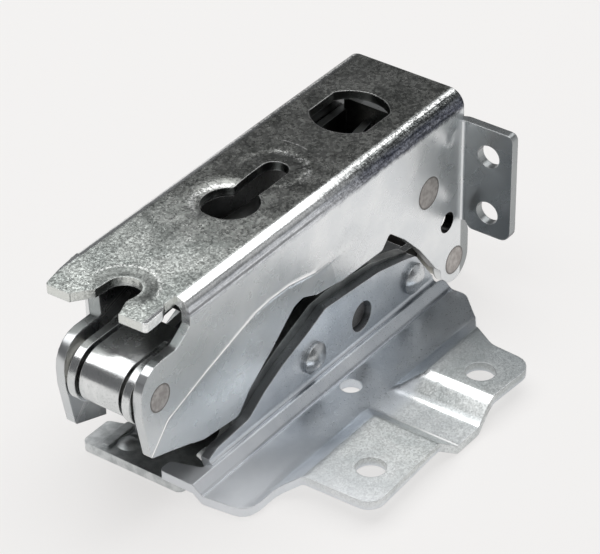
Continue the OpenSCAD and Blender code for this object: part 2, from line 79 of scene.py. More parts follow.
# ---------------------------------------------------------------- node helpers
class Tree:
    def __init__(self, name):
        self.mat = bpy.data.materials.new(name)
        self.mat.use_nodes = True
        self.nt = self.mat.node_tree
        self.nt.nodes.clear()
        self.out = self.nt.nodes.new("ShaderNodeOutputMaterial")
        self.bsdf = self.nt.nodes.new("ShaderNodeBsdfPrincipled")
        self.nt.links.new(self.bsdf.outputs[0], self.out.inputs[0])
        self.bevel = None
        self.rim_wear_and_highlight = None
        tc = self.nt.nodes.new("ShaderNodeTexCoord")
        m = self.nt.nodes.new("ShaderNodeMapping")
        m.inputs["Scale"].default_value = (1000, 1000, 1000)
        m.inputs["Location"].default_value = (-OFF[0], -OFF[1], -OFF[2])
        self.nt.links.new(tc.outputs["Object"], m.inputs["Vector"])
        self.co = m.outputs[0]            # millimetres in the casing frame
        s = self.nt.nodes.new("ShaderNodeSeparateXYZ")
        self.nt.links.new(self.co, s.inputs[0])
        self.x, self.y, self.z = s.outputs
        n = self.nt.nodes.new("ShaderNodeSeparateXYZ")
        self.nt.links.new(tc.outputs["Normal"], n.inputs[0])
        self.nx, self.ny, self.nz = n.outputs      # the surface's own direction, in the piece's frame

    def set(self, socket, value):
        if isinstance(value, bpy.types.NodeSocket):
            self.nt.links.new(value, socket)
        elif value is not None:
            socket.default_value = value

    def math(self, op, a, b=None, c=None, clamp=False):
        n = self.nt.nodes.new("ShaderNodeMath")
        n.operation = op
        n.use_clamp = clamp
        self.set(n.inputs[0], a)
        if b is not None:
            self.set(n.inputs[1], b)
        if c is not None:
            self.set(n.inputs[2], c)
        return n.outputs[0]

    def step(self, v, lo, hi, a=0.0, b=1.0):
        n = self.nt.nodes.new("ShaderNodeMapRange")
        n.interpolation_type = "SMOOTHSTEP"
        self.set(n.inputs[0], v)
        for i, q in enumerate((lo, hi, a, b)):
            n.inputs[i + 1].default_value = q
        return n.outputs[0]

    def stretch(self, scale, rotation=(0, 0, 0)):
        n = self.nt.nodes.new("ShaderNodeMapping")
        n.vector_type = "TEXTURE"
        n.inputs["Rotation"].default_value = rotation
        n.inputs["Scale"].default_value = tuple(1 / q for q in scale)
        self.nt.links.new(self.co, n.inputs["Vector"])
        return n.outputs[0]

    def noise(self, scale, detail=3.0, rough=0.55, co=None, distortion=0.0):
        n = self.nt.nodes.new("ShaderNodeTexNoise")
        n.inputs["Scale"].default_value = scale
        n.inputs["Detail"].default_value = detail
        n.inputs["Roughness"].default_value = rough
        n.inputs["Distortion"].default_value = distortion
        self.nt.links.new(co or self.co, n.inputs["Vector"])
        return n.outputs["Fac"]

    def cells(self, scale, feature="F1", out="Color"):
        n = self.nt.nodes.new("ShaderNodeTexVoronoi")
        n.feature = feature
        n.inputs["Scale"].default_value = scale
        self.nt.links.new(self.co, n.inputs["Vector"])
        return n.outputs[out]

    def mix(self, fac, a, b):
        n = self.nt.nodes.new("ShaderNodeMix")
        n.data_type = "RGBA"
        n.clamp_factor = True
        self.set(n.inputs[0], fac)
        for s, v in ((n.inputs[6], a), (n.inputs[7], b)):
            self.set(s, (*v, 1) if isinstance(v, tuple) else v)
        return n.outputs[2]

    def mixf(self, fac, a, b):
        n = self.nt.nodes.new("ShaderNodeMix")
        n.data_type = "FLOAT"
        n.clamp_factor = True
        self.set(n.inputs[0], fac)
        self.set(n.inputs[2], a)
        self.set(n.inputs[3], b)
        return n.outputs[0]

    def dist(self, x, y):
        """Distance in the X-Y plane from a point of the casing frame."""
        dx = self.math("SUBTRACT", self.x, x)
        dy = self.math("SUBTRACT", self.y, y)
        return self.math("SQRT", self.math("ADD", self.math("MULTIPLY", dx, dx), self.math("MULTIPLY", dy, dy)))

    def dist_xz(self, x, z):
        dx = self.math("SUBTRACT", self.x, x)
        dz = self.math("SUBTRACT", self.z, z)
        return self.math("SQRT", self.math("ADD", self.math("MULTIPLY", dx, dx), self.math("MULTIPLY", dz, dz)))

    def band(self, v, centre, half, soft):
        """1 where v lies within half of centre, falling to 0 over soft."""
        d = self.math("ABSOLUTE", self.math("SUBTRACT", v, centre))
        return self.step(d, half, half + soft, 1.0, 0.0)

    def rim(self, round_mm, dull=0.7):
        """1 on the rounded rims of cut edges."""
        n = self.nt.nodes.new("ShaderNodeBevel")
        n.samples = 5
        n.inputs["Radius"].default_value = round_mm / 1000
        self.bevel = n
        self.worn_dull = dull
        g = self.nt.nodes.new("ShaderNodeNewGeometry")
        d = self.nt.nodes.new("ShaderNodeVectorMath")
        d.operation = "DOT_PRODUCT"
        self.nt.links.new(n.outputs[0], d.inputs[0])
        self.nt.links.new(g.outputs["Normal"], d.inputs[1])
        # rim mask: callers paint highlights along the rims with it (partly edge wear), and it dulls the metal there
        self.rim_wear_and_highlight = self.step(d.outputs["Value"], 0.84, 0.975, 1.0, 0.0)
        return self.rim_wear_and_highlight

    def finish(self, colour, rough, height=None, strength=1.0, metallic=1.0, round_mm=0.22, grain=None):
        b = self.bsdf
        self.set(b.inputs["Base Color"], (*colour, 1) if isinstance(colour, tuple) else colour)
        self.set(b.inputs["Roughness"], rough)
        if self.rim_wear_and_highlight is not None:
            metallic = self.math("MULTIPLY", metallic, self.math("SUBTRACT", 1.0, self.math("MULTIPLY", self.rim_wear_and_highlight, self.worn_dull)))
        self.set(b.inputs["Metallic"], metallic)
        edge = self.bevel
        if edge is None:
            edge = self.nt.nodes.new("ShaderNodeBevel")
            edge.samples = 5
            edge.inputs["Radius"].default_value = round_mm / 1000
        normal = edge.outputs[0]
        if height is not None:
            n = self.nt.nodes.new("ShaderNodeBump")
            n.inputs["Strength"].default_value = strength
            n.inputs["Distance"].default_value = 0.001
            self.nt.links.new(height, n.inputs["Height"])
            self.nt.links.new(normal, n.inputs["Normal"])
            normal = n.outputs[0]
        if grain is not None:
            # zinc crystals: every grain is tilted its own way, so that it glints by itself
            per_mm, amount = grain
            off = self.vec("SUBTRACT", self.cells(per_mm), (0.5, 0.5, 0.5))
            sc = self.nt.nodes.new("ShaderNodeVectorMath")
            sc.operation = "SCALE"
            self.nt.links.new(off, sc.inputs[0])
            self.set(sc.inputs["Scale"], amount)
            normal = self.vec("NORMALIZE", self.vec("ADD", normal, sc.outputs[0]))
        self.nt.links.new(normal, b.inputs["Normal"])
        return self.mat

    def vec(self, op, a, b=None):
        n = self.nt.nodes.new("ShaderNodeVectorMath")
        n.operation = op
        self.set(n.inputs[0], a)
        if b is not None:
            self.set(n.inputs[1], b)
        return n.outputs[0]

    def value(self, colour):
        """One number out of a random cell colour."""
        n = self.nt.nodes.new("ShaderNodeSeparateColor")
        self.nt.links.new(colour, n.inputs[0])
        return n.outputs[0]

    def scale(self, colour, f):
        """Colour times a number."""
        n = self.nt.nodes.new("ShaderNodeVectorMath")
        n.operation = "SCALE"
        self.set(n.inputs[0], colour)
        self.set(n.inputs["Scale"], f)
        return n.outputs[0]


def scratches(t, seed, density=0.74, thin=0.03):
    """Fine straight scratches in a few directions, as a 0..1 mask."""
    total = None
    for k, (ang, tilt) in enumerate(((0.35, 0.2), (-0.5, 0.7), (1.15, -0.4))):
        co = t.stretch((0.10, 2.6, 2.6), (tilt + seed, ang * 0.6, ang + seed))
        n = t.noise(1.0, 1.0, 0.4, co)
        line = t.step(t.math("ABSOLUTE", t.math("SUBTRACT", n, 0.5 + 0.02 * k)), 0.0, thin * 0.35, 1.0, 0.0)
        gate = t.step(t.noise(0.12 + 0.05 * k, 2.0, 0.5), density - 0.14, density - 0.02)
        m = t.math("MULTIPLY", line, gate)
        total = m if total is None else t.math("MAXIMUM", total, m)
    return total


def zinc(name, light, dark, r_lo, r_hi, grain=0.5, speck=0.3, bump=0.35, scratch=0.3, seed=0.0, round_mm=0.22, facet=0.03,
         edge=0.5, extra=None, metallic=1.0):
    """Zinc-plated steel: cloudy tone, crystal grain, dark specks, fine scratches and a painted highlight along the rims
    of cut edges (partly edge wear).
    """
    t = Tree(name)
    cloud = t.noise(0.09, 4.0, 0.6, distortion=0.4)
    grain_n = t.noise(2.2, 3.0, 0.6)
    tone = t.mix(t.step(cloud, 0.35, 0.68), dark, light)
    specks = t.math("MULTIPLY", t.step(t.noise(3.2, 2.0, 0.6), 0.56, 0.70), speck)
    tone = t.mix(specks, tone, tuple(c * 0.45 for c in dark))
    lights = t.math("MULTIPLY", t.step(t.noise(2.7, 2.0, 0.65, t.stretch((1, 1, 1), (0.4, 0.9, 0.2))), 0.60, 0.72), grain * 0.6)
    tone = t.mix(lights, tone, tuple(min(1, c * 1.25) for c in light))
    sc = scratches(t, seed)
    tone = t.mix(t.math("MULTIPLY", sc, scratch), tone, tuple(min(1, c * 1.3) for c in light))
    if extra is not None:
        tone = extra(t, tone)
    # painted highlight along the rims of cut edges, partly edge wear; edge sets its strength
    tone = t.mix(t.math("MULTIPLY", t.rim(round_mm), edge), tone, (0.92, 0.93, 0.92))
    rough = t.mixf(t.step(cloud, 0.3, 0.7), r_hi, r_lo)
    rough = t.math("ADD", rough, t.math("MULTIPLY", t.math("SUBTRACT", grain_n, 0.5), 0.25 * grain), clamp=True)
    h = t.math("MULTIPLY", grain_n, 0.02 * grain)
    h = t.math("ADD", h, t.math("MULTIPLY", t.noise(0.18, 2.0, 0.5), 0.10))
    h = t.math("SUBTRACT", h, t.math("MULTIPLY", sc, 0.004))
    return t.finish(tone, rough, h, bump, metallic, round_mm=round_mm, grain=(3.4, facet))


# ---------------------------------------------------------------- casing material
def casing_material():
    t = Tree("casing_zinc")
    # the web and the folds are grainy and greyed, the walls are smooth and bluish
    warp = t.math("MULTIPLY", t.math("SUBTRACT", t.noise(0.6, 3.0, 0.6), 0.5), 1.6)
    edge_y = t.math("ADD", t.math("ABSOLUTE", t.y), t.math("MULTIPLY", warp, 0.25))
    web = t.math("MULTIPLY", t.step(t.z, -3.2, -1.2), t.step(edge_y, 11.3, 11.9, 1.0, 0.0))
    fold = t.math("MULTIPLY", t.step(t.math("ADD", t.z, warp), -4.6, -3.2), t.math("SUBTRACT", 1.0, web))
    cut = t.math("MULTIPLY", t.step(t.math("ABSOLUTE", t.nz), 0.35, 0.6, 1.0, 0.0), t.step(t.z, -2.4, -2.0))
    cut = t.math("MULTIPLY", cut, t.step(t.math("ABSOLUTE", t.y), 12.6, 12.9, 1.0, 0.0))
    front = t.step(t.math("ADD", t.x, t.math("MULTIPLY", t.noise(0.10, 2.0, 0.5), 26.0)), -84.0, -34.0, 1.0, 0.0)
    cloud = t.noise(0.13, 4.0, 0.62, distortion=0.5)
    fine = t.noise(2.6, 4.0, 0.7)
    cell = t.value(t.cells(3.1))
    cell2 = t.value(t.cells(1.7))
    # painted reflection: the web is coloured dark at the rear and lighter towards the front, standing for how it
    # mirrors the room
    rear_tone = t.mix(t.step(cloud, 0.35, 0.65), (0.17, 0.175, 0.165), (0.30, 0.305, 0.29))
    front_tone = t.mix(t.step(cloud, 0.35, 0.65), (0.42, 0.45, 0.43), (0.66, 0.69, 0.66))
    web_tone = t.mix(front, rear_tone, front_tone)
    web_tone = t.mix(front, t.scale(web_tone, t.step(cell, 0.0, 1.0, 0.86, 1.16)), t.scale(web_tone, t.step(cell, 0.0, 1.0, 0.66, 1.45)))
    web_tone = t.mix(t.math("MULTIPLY", t.step(cell2, 0.80, 0.95), t.mixf(front, 0.28, 0.5)), web_tone, (0.09, 0.095, 0.09))
    # coined rings round the notch and the end of the keyhole's slot; painted shade on their slopes and painted
    # highlights on one side of their rims and of the dish's rim
    patch = t.step(t.noise(0.5, 3.0, 0.6), 0.42, 0.56)
    d1 = t.dist(-95.2, -1.4)
    coin_slope_shade = t.math("MULTIPLY", t.band(d1, 5.4, 0.9, 0.8), t.step(t.x, -98.0, -95.0))
    coin_rim_highlight = t.math("MULTIPLY", t.math("MULTIPLY", t.band(d1, 7.1, 0.15, 0.5), t.step(t.x, -96.0, -93.0)), t.step(cell, 0.2, 0.8))
    d2 = t.dist(-46.6, -0.5)
    slot_ring_highlight = t.math("MULTIPLY", t.band(d2, 6.6, 0.3, 0.9), t.step(t.math("SUBTRACT", t.x, t.y), -47.5, -41.0))
    slot_ring_highlight = t.math("MULTIPLY", slot_ring_highlight, t.math("MULTIPLY", patch, t.step(cell, 0.25, 0.6)))
    slot_well_shade = t.math("MULTIPLY", t.band(d2, 4.3, 0.7, 0.9), 0.45)
    d3 = t.dist(-61.5, -0.2)
    dish_rim_highlight = t.math("MULTIPLY", t.band(d3, 6.9, 0.25, 0.7), t.math("MULTIPLY", t.step(t.y, 0.5, 3.5), t.step(cell, 0.1, 0.5)))
    web_tone = t.mix(t.math("MULTIPLY", coin_slope_shade, 0.72), web_tone, (0.11, 0.115, 0.11))
    web_tone = t.mix(slot_well_shade, web_tone, (0.12, 0.125, 0.12))
    for m, k in ((coin_rim_highlight, 0.75), (slot_ring_highlight, 0.8), (dish_rim_highlight, 0.7)):
        web_tone = t.mix(t.math("MULTIPLY", m, k), web_tone, (0.86, 0.87, 0.85))
    # one bright scuff across the web behind the keyhole
    sx = t.math("SUBTRACT", t.x, -36.5)
    sy = t.math("SUBTRACT", t.y, 1.6)
    arc = t.math("ABSOLUTE", t.math("ADD", sx, t.math("MULTIPLY", t.math("MULTIPLY", sy, sy), 0.035)))
    scuff = t.math("MULTIPLY", t.step(arc, 0.05, 0.24, 1.0, 0.0), t.step(t.math("ABSOLUTE", sy), 2.2, 3.6, 1.0, 0.0))
    web_tone = t.mix(t.math("MULTIPLY", scuff, 0.75), web_tone, (0.9, 0.9, 0.88))
    # painted reflection: the web's cut faces are painted bright, as if mirroring the floor; painted shade darkens the
    # ones further back than X -84
    web_tone = t.mix(cut, web_tone, t.mix(fine, (0.55, 0.57, 0.54), (0.86, 0.88, 0.85)))
    web_tone = t.mix(t.math("MULTIPLY", t.math("MULTIPLY", cut, t.step(t.x, -86.0, -84.0)), 0.85), web_tone, (0.17, 0.18, 0.175))
    # walls
    wall_tone = t.mix(t.step(t.noise(0.07, 3.0, 0.6), 0.3, 0.7), (0.74, 0.765, 0.785), (0.86, 0.875, 0.88))
    wall_tone = t.mix(t.math("MULTIPLY", t.step(t.noise(3.0, 2.0, 0.6), 0.62, 0.74), 0.16), wall_tone, (0.42, 0.44, 0.45))
    drop = crease_distance(t)
    # painted shade: the wall below the crease, where it leans inwards, is painted darker
    low = t.step(drop, -0.1, 0.5)
    wall_tone = t.mix(t.math("MULTIPLY", low, 0.40), wall_tone, (0.46, 0.48, 0.485))
    lead = t.step(t.x, -92.0, -70.0, 1.0, 0.0)
    wall_tone = t.mix(t.math("MULTIPLY", lead, 0.52), wall_tone, (0.44, 0.46, 0.465))
    # painted highlights along the crease: two thin bright lines with a painted dark one between
    faint = t.math("MULTIPLY", t.step(t.x, -52.0, -42.0, 1.0, 0.0), t.step(t.noise(0.35, 2.0, 0.5), 0.30, 0.48, 0.45, 1.0))
    for centre, k, c in ((-0.34, 0.95, 0.985), (0.36, 0.75, 0.97), (0.02, 0.55, 0.42)):
        m = t.math("MULTIPLY", t.band(drop, centre, 0.07, 0.13), t.math("MULTIPLY", faint, k))
        wall_tone = t.mix(m, wall_tone, (c, c, c))
    tab = t.step(t.x, -0.9, -0.4)
    wall_tone = t.mix(t.math("MULTIPLY", tab, 0.78), wall_tone, (0.20, 0.215, 0.215))
    # painted reflection on the fold: at the front a white crest over a light band crossed by two dark lines, at the
    # rear a dark fold with one thin bright line near its crest
    drawn = t.noise(1.0, 3.0, 0.6, t.stretch((0.18, 2.4, 2.4)))
    crest = t.step(edge_y, 13.2, 14.2, 1.0, 0.0)
    lead_fold = t.step(t.math("ADD", t.x, t.math("MULTIPLY", t.noise(0.10, 2.0, 0.5), 20.0)), -46.0, -18.0, 1.0, 0.0)
    low_fold = t.mix(lead_fold, t.mix(t.step(drawn, 0.35, 0.65), (0.045, 0.05, 0.068), (0.17, 0.18, 0.21)),
                     t.mix(t.step(drawn, 0.35, 0.65), (0.52, 0.54, 0.57), (0.78, 0.80, 0.83)))
    for zc, k in ((-1.35, 0.85), (-2.85, 0.7)):
        line = t.math("MULTIPLY", t.band(t.math("ADD", t.z, t.math("MULTIPLY", warp, 0.12)), zc, 0.16, 0.25), t.math("MULTIPLY", lead_fold, k))
        low_fold = t.mix(line, low_fold, (0.12, 0.125, 0.13))
    top_rear = t.mix(t.step(drawn, 0.35, 0.65), (0.07, 0.075, 0.075), (0.25, 0.26, 0.255))
    top_rear = t.mix(t.math("MULTIPLY", t.band(edge_y, 12.15, 0.20, 0.25), 0.8), top_rear, (0.78, 0.79, 0.78))
    top_fold = t.mix(lead_fold, top_rear,
                     t.mix(t.step(drawn, 0.35, 0.65), (0.82, 0.84, 0.84), (0.97, 0.98, 0.97)))
    fold_tone = t.mix(crest, low_fold, top_fold)
    fold_tone = t.scale(fold_tone, t.mixf(lead_fold, t.step(cell, 0.0, 1.0, 0.45, 1.45), t.step(cell, 0.0, 1.0, 0.86, 1.08)))
    sc = scratches(t, 0.3, 0.70)
    # a bundle of crossing scratches on the wall above the rear of the flange
    near = t.step(t.dist_xz(-41.0, -17.5), 4.0, 9.5, 1.0, 0.0)
    co = t.stretch((0.16, 1.0, 3.2), (0.0, 0.95, 0.0))
    bundle = t.step(t.math("ABSOLUTE", t.math("SUBTRACT", t.noise(1.3, 1.0, 0.4, co), 0.5)), 0.0, 0.02, 1.0, 0.0)
    co = t.stretch((0.16, 1.0, 3.2), (0.0, -0.75, 0.0))
    bundle2 = t.step(t.math("ABSOLUTE", t.math("SUBTRACT", t.noise(1.3, 1.0, 0.4, co), 0.5)), 0.0, 0.014, 1.0, 0.0)
    bundle = t.math("MULTIPLY", t.math("MAXIMUM", bundle, bundle2), near)
    wall_tone = t.mix(t.math("MULTIPLY", sc, 0.16), wall_tone, (0.93, 0.94, 0.95))
    wall_tone = t.mix(t.math("MULTIPLY", bundle, 0.45), wall_tone, (0.36, 0.37, 0.37))
    tone = t.mix(fold, wall_tone, fold_tone)
    tone = t.mix(web, tone, web_tone)
    # grease and shade inside the channel
    inner = t.math("MULTIPLY", t.step(t.math("ABSOLUTE", t.y), 12.6, 13.0, 1.0, 0.0), t.step(t.z, -2.2, -1.9, 1.0, 0.0))
    inner = t.math("MULTIPLY", inner, t.step(t.x, -86.0, -66.0))
    tone = t.mix(t.math("MULTIPLY", inner, 0.86), tone, (0.035, 0.036, 0.034))
    # painted shade: the small hole in the wall is painted black
    hole = t.step(t.dist_xz(-5.8, -29.1), 2.32, 2.42, 1.0, 0.0)
    tone = t.mix(hole, tone, (0.02, 0.02, 0.02))
    # painted shade on the arch's downward faces
    arch = t.math("MULTIPLY", t.step(t.nz, -0.30, -0.12, 1.0, 0.0), t.step(t.x, -37.0, -34.0))
    arch = t.math("MULTIPLY", arch, t.math("MULTIPLY", t.step(t.z, -41.0, -39.5), t.step(t.z, -6.0, -5.0, 1.0, 0.0)))
    tone = t.mix(t.math("MULTIPLY", arch, 0.9), tone, (0.09, 0.092, 0.092))
    # painted highlight along the rounded rims away from the small hole, partly edge wear
    rim = t.math("MULTIPLY", t.rim(0.28, 0.5), t.math("MULTIPLY", t.step(t.math("ABSOLUTE", t.math("SUBTRACT", t.dist_xz(-5.8, -29.1), 0.0)), 2.4, 3.0), t.mixf(web, 0.35, 0.5)))
    tone = t.mix(rim, tone, (0.93, 0.94, 0.93))
    web_any = t.math("MULTIPLY", t.math("MAXIMUM", web, fold), t.math("SUBTRACT", 1.0, cut))
    web_rough = t.math("ADD", t.mixf(front, 0.24, 0.40), t.math("MULTIPLY", t.math("SUBTRACT", cell2, 0.5), 0.16))
    web_rough = t.mixf(t.math("MULTIPLY", fold, crest), web_rough, t.mixf(front, 0.22, 0.15))
    rough = t.mixf(web_any, t.mixf(t.noise(0.2, 2.0, 0.5), 0.22, 0.34), web_rough)
    h = t.math("MULTIPLY", fine, t.mixf(web, t.mixf(fold, 0.003, 0.010), t.mixf(front, 0.014, 0.028)))
    h = t.math("ADD", h, t.math("MULTIPLY", t.noise(0.16, 2.0, 0.5), t.mixf(web_any, 0.12, 0.10)))
    h = t.math("SUBTRACT", h, t.math("ADD", t.math("MULTIPLY", sc, 0.001), t.math("MULTIPLY", bundle, 0.004)))
    facet = t.mixf(web, t.mixf(fold, 0.006, t.mixf(lead_fold, 0.16, 0.03)), t.mixf(front, 0.065, 0.13))
    return t.finish(tone, rough, h, 0.5, round_mm=0.28, grain=(3.3, facet))


CREASE = [(-38.0, -16.0), (-52.5, -15.6), (-61.0, -13.9), (-67.2, -13.7), (-72.0, -14.2), (-75.2, -15.1), (-87.6, -18.8),
          (-99.5, -22.9), (-104.6, -28.4), (-112.0, -36.0)]


def crease_distance(t):
    """Node version: how far a wall point lies below the crease, in millimetres along Z."""
    n = t.nt.nodes.new("ShaderNodeFloatCurve")
    c = n.mapping.curves[0]
    pts = sorted(CREASE)
    while len(c.points) < len(pts):
        c.points.new(0.5, 0.5)
    for p, (x, z) in zip(c.points, pts):
        p.location = ((x + 112.0) / 112.0, (z + 40.0) / 40.0)
        p.handle_type = "VECTOR"
    c.points[-1].location = (1.0, (-15.9 + 40) / 40)
    n.mapping.update()
    t.nt.links.new(t.math("DIVIDE", t.math("ADD", t.x, 112.0), 112.0), n.inputs["Value"])
    line = t.math("SUBTRACT", t.math("MULTIPLY", n.outputs[0], 40.0), 40.0)
    far = t.math("MULTIPLY", t.step(t.x, -48.0, -38.0), 30.0)
    return t.math("SUBTRACT", t.math("SUBTRACT", line, t.z), far)


def plate_material():
    t = Tree("plate_zinc")
    wing = t.step(t.z, -41.8, -40.2)
    cloud = t.noise(0.10, 3.0, 0.6, distortion=0.3)
    fine = t.noise(2.4, 3.0, 0.68)
    cell = t.value(t.cells(2.9))
    floor = t.mix(t.step(cloud, 0.32, 0.68), (0.60, 0.64, 0.685), (0.74, 0.775, 0.81))
    wings = t.mix(t.step(cloud, 0.35, 0.65), (0.50, 0.53, 0.525), (0.64, 0.66, 0.65))
    wings = t.scale(wings, t.step(cell, 0.0, 1.0, 0.82, 1.18))
    wings = t.mix(t.math("MULTIPLY", t.step(t.noise(2.9, 2.0, 0.6), 0.58, 0.70), 0.28), wings, (0.24, 0.26, 0.26))
    outer = t.step(t.y, -34.0, -30.5, 1.0, 0.0)
    groove = t.math("MULTIPLY", t.band(t.x, -48.5, 8.0, 2.0), outer)
    speck = t.math("MAXIMUM", t.math("MULTIPLY", wing, outer), t.math("MULTIPLY", groove, 0.8))
    rear = t.step(t.x, -50.0, -18.0)
    tone = t.mix(speck, floor, wings)
    # painted reflection: the plate is painted darker towards the rear and lighter towards the front
    tone = t.mix(t.math("MULTIPLY", rear, t.mixf(speck, 0.30, 0.85)), tone, (0.33, 0.355, 0.365))
    front = t.step(t.x, -92.0, -62.0, 1.0, 0.0)
    tone = t.mix(t.math("MULTIPLY", front, 0.7), tone, (0.88, 0.90, 0.925))
    # painted shade on the sloping pad in the groove
    pad = t.math("MULTIPLY", t.math("MULTIPLY", t.band(t.z, -41.35, 0.75, 0.4), t.band(t.x, -42.5, 2.4, 0.8)), outer)
    tone = t.mix(t.math("MULTIPLY", pad, 0.85), tone, t.scale(wings, 0.72))
    # painted highlights on the groove's bends, painted shade on the bends beside the flange
    bend = t.math("MULTIPLY", t.step(t.nx, -0.60, -0.50), t.step(t.nx, -0.16, -0.06, 1.0, 0.0))
    bend = t.math("MULTIPLY", bend, t.math("MULTIPLY", t.band(t.x, -41.8, 4.6, 0.6), outer))
    tone = t.mix(bend, tone, (0.96, 0.97, 0.96))
    dark_bend = t.math("MULTIPLY", t.step(t.nz, 0.72, 0.84), t.step(t.nz, 0.975, 0.997, 1.0, 0.0))
    dark_bend = t.math("MULTIPLY", dark_bend, t.band(t.y, -16.4, 2.0, 0.5))
    tone = t.mix(t.math("MULTIPLY", dark_bend, t.step(t.x, -84.0, -74.0, 0.45, 0.80)), tone, (0.16, 0.175, 0.20))
    # painted highlight: a thin bright line along the bend at the foot of the front wing's slope
    lip = t.math("MULTIPLY", t.band(t.x, -52.1, 0.20, 0.25), t.step(t.y, -44.0, -36.0, 1.0, 0.25))
    lip = t.math("MULTIPLY", lip, t.math("MULTIPLY", outer, t.step(t.nz, 0.5, 0.7)))
    tone = t.mix(lip, tone, (0.97, 0.975, 0.96))
    flange = t.step(t.y, -15.2, -14.6)
    cut = t.math("MULTIPLY", t.step(t.y, -14.6, -14.3), t.step(t.nz, 0.25, 0.5))
    cut = t.math("MULTIPLY", cut, t.step(t.z, -40.6, -40.0))
    tone = t.mix(t.math("MULTIPLY", cut, 0.8), tone, (0.20, 0.21, 0.22))
    dull = t.math("MAXIMUM", t.math("MAXIMUM", t.math("MAXIMUM", t.math("MULTIPLY", lip, 0.85), t.math("MULTIPLY", front, 0.30)), t.math("MULTIPLY", flange, 0.26)),
                  t.math("MULTIPLY", t.math("MULTIPLY", t.step(t.x, -54.0, -60.0), speck), 0.24))
    sc = scratches(t, 0.9, 0.70)
    tone = t.mix(t.math("MULTIPLY", sc, 0.3), tone, (0.88, 0.90, 0.92))
    rough = t.math("ADD", t.mixf(bend, t.mixf(speck, t.mixf(front, 0.30, 0.46), 0.36), 0.18), t.math("MULTIPLY", t.math("SUBTRACT", fine, 0.5), 0.2), clamp=True)
    h = t.math("MULTIPLY", fine, t.mixf(speck, 0.005, 0.02))
    h = t.math("ADD", h, t.math("MULTIPLY", t.noise(0.14, 2.0, 0.5), 0.14))
    h = t.math("SUBTRACT", h, t.math("MULTIPLY", sc, 0.004))
    # painted highlight along the rounded rims, partly edge wear
    tone = t.mix(t.math("MULTIPLY", t.rim(0.3), 0.55), tone, (0.94, 0.95, 0.96))
    return t.finish(tone, rough, h, 0.45, t.math("SUBTRACT", 1.0, dull), round_mm=0.3, grain=(5.0, t.mixf(t.math("MULTIPLY", speck, t.math("SUBTRACT", 1.0, bend)), 0.010, 0.065)))


def pin_material(name, centres, plane):
    """Flush riveted pin ends: warm grey, turned rings, darker rim."""
    t = Tree(name)
    tone = t.mix(t.step(t.noise(0.8, 3.0, 0.6), 0.35, 0.65), (0.36, 0.335, 0.32), (0.50, 0.475, 0.455))
    rim = None
    rings = None
    for (cx, cz, r) in centres:
        d = t.dist_xz(cx, cz)
        m = t.math("MULTIPLY", t.step(d, r - 0.55, r - 0.1), t.step(d, r + 0.3, r + 0.6, 1.0, 0.0))
        rim = m if rim is None else t.math("MAXIMUM", rim, m)
        w = t.math("MULTIPLY", t.math("SINE", t.math("MULTIPLY", d, 9.0)), t.step(d, r, r + 0.4, 1.0, 0.0))
        rings = w if rings is None else t.math("ADD", rings, w)
    tone = t.mix(t.math("MULTIPLY", rim, 0.75), tone, (0.10, 0.095, 0.09))
    h = t.math("ADD", t.math("MULTIPLY", rings, 0.006), t.math("MULTIPLY", t.noise(1.5, 3.0, 0.6), 0.03))
    rough = t.mixf(t.noise(1.2, 2.0, 0.5), 0.34, 0.5)
    return t.finish(tone, rough, h, 0.5, round_mm=0.3)


def plastic_material():
    t = Tree("spacer_plastic")
    tone = t.mix(t.step(t.noise(0.6, 3.0, 0.6), 0.3, 0.7), (0.60, 0.58, 0.52), (0.72, 0.70, 0.65))
    tone = t.mix(t.math("MULTIPLY", t.step(t.noise(1.6, 2.0, 0.5), 0.60, 0.75), 0.5), tone, (0.30, 0.28, 0.25))
    h = t.math("MULTIPLY", t.noise(3.0, 3.0, 0.6), 0.02)
    return t.finish(tone, t.mixf(t.noise(1.0, 2.0, 0.5), 0.45, 0.65), h, 0.4, metallic=0.0)


M_CASING = casing_material()
M_PLATE = plate_material()
def lit_bracket_front(t, tone):
    """Painted light: the bracket's floor in front of its walls is painted bright; the rest keeps the dark tone that
    stands for shade inside the casing.
    """
    return t.mix(t.step(t.x, -84.5, -80.0, 0.9, 0.0), tone, t.mix(t.step(t.noise(0.5, 3.0, 0.6), 0.35, 0.65), (0.52, 0.545, 0.55), (0.74, 0.76, 0.765)))


def lit_top_faces(t, tone):
    """Painted highlight: the cross lever's upper faces are painted bright."""
    return t.mix(t.math("MULTIPLY", t.step(t.nz, 0.55, 0.8), t.step(t.math("ABSOLUTE", t.y), 6.6, 7.2, 0.85, 0.35)), tone, (0.66, 0.675, 0.67))


# painted shade: the bracket's dark tones stand for the shade inside the casing
M_BRACKET = zinc("bracket_zinc", (0.36, 0.375, 0.37), (0.15, 0.16, 0.16), 0.30, 0.46, 0.6, 0.45, 0.45, 0.3, 1.7, extra=lit_bracket_front)
# painted shade: the levers and links are coloured near black for the dark gap they sit in, with strong painted
# highlights along their rims; the cross lever likewise dark
M_LEVER = zinc("lever_zinc", (0.22, 0.225, 0.225), (0.08, 0.085, 0.085), 0.28, 0.46, 0.5, 0.4, 0.4, 0.3, 2.2, round_mm=0.34, edge=0.95)
M_CROSS = zinc("cross_lever_zinc", (0.24, 0.245, 0.245), (0.09, 0.095, 0.095), 0.28, 0.46, 0.5, 0.4, 0.4, 0.3, 2.9, extra=lit_top_faces)
M_LINK = zinc("link_zinc", (0.80, 0.81, 0.81), (0.62, 0.64, 0.64), 0.16, 0.32, 0.35, 0.35, 0.35, 0.4, 0.6)
M_RIVET = zinc("rivet_zinc", (0.66, 0.68, 0.69), (0.36, 0.38, 0.40), 0.20, 0.38, 0.5, 0.5, 0.6, 0.2, 3.1, round_mm=0.35)
M_PIN = pin_material("pin_steel", [(-12.8, -18.1, 3.6), (-2.85, -40.1, 3.2), (-101.5, -16.3, 3.0)], -14.55)
